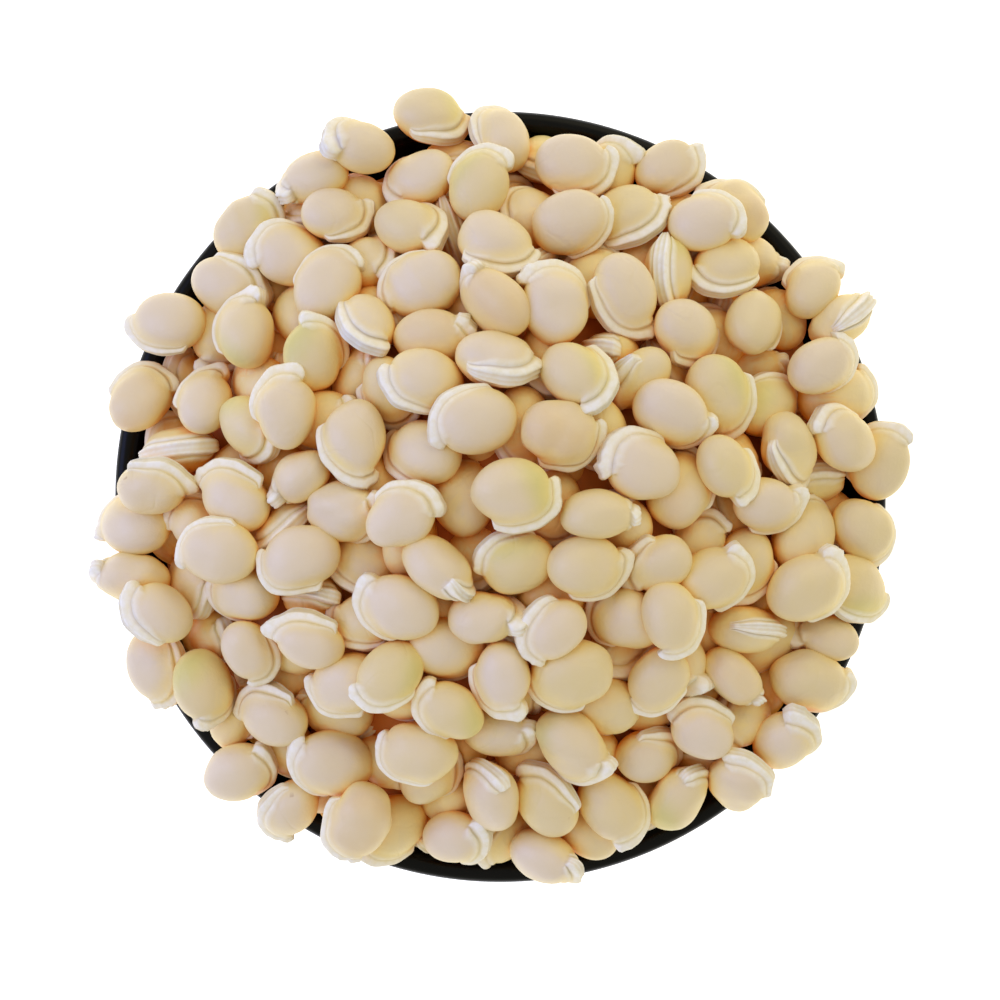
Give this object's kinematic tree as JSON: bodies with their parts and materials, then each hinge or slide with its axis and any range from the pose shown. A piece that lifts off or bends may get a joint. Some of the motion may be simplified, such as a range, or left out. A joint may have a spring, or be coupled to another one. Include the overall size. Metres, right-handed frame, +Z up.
{
  "type": "bowl of dried beans",
  "caption": "Round black dish heaped to a dome with plump dried white beans that have a raised pale crest.",
  "frame": {"origin": "middle of the dish's flat foot, on the surface it stands on", "axes": "+Z up along the dish's axis; +X to the right and +Y to the top of the picture, which looks straight down"},
  "size_m": [0.1328, 0.1309, 0.0742],
  "materials": {
    "black_dish": "glossy black glaze",
    "dried_beans": "smooth dry seed coat, satin ivory, standing in for dried food"
  },
  "bodies": {
    "root": {"bowl": "black_dish", "beans": "dried_beans"}
  },
  "joints": []
}
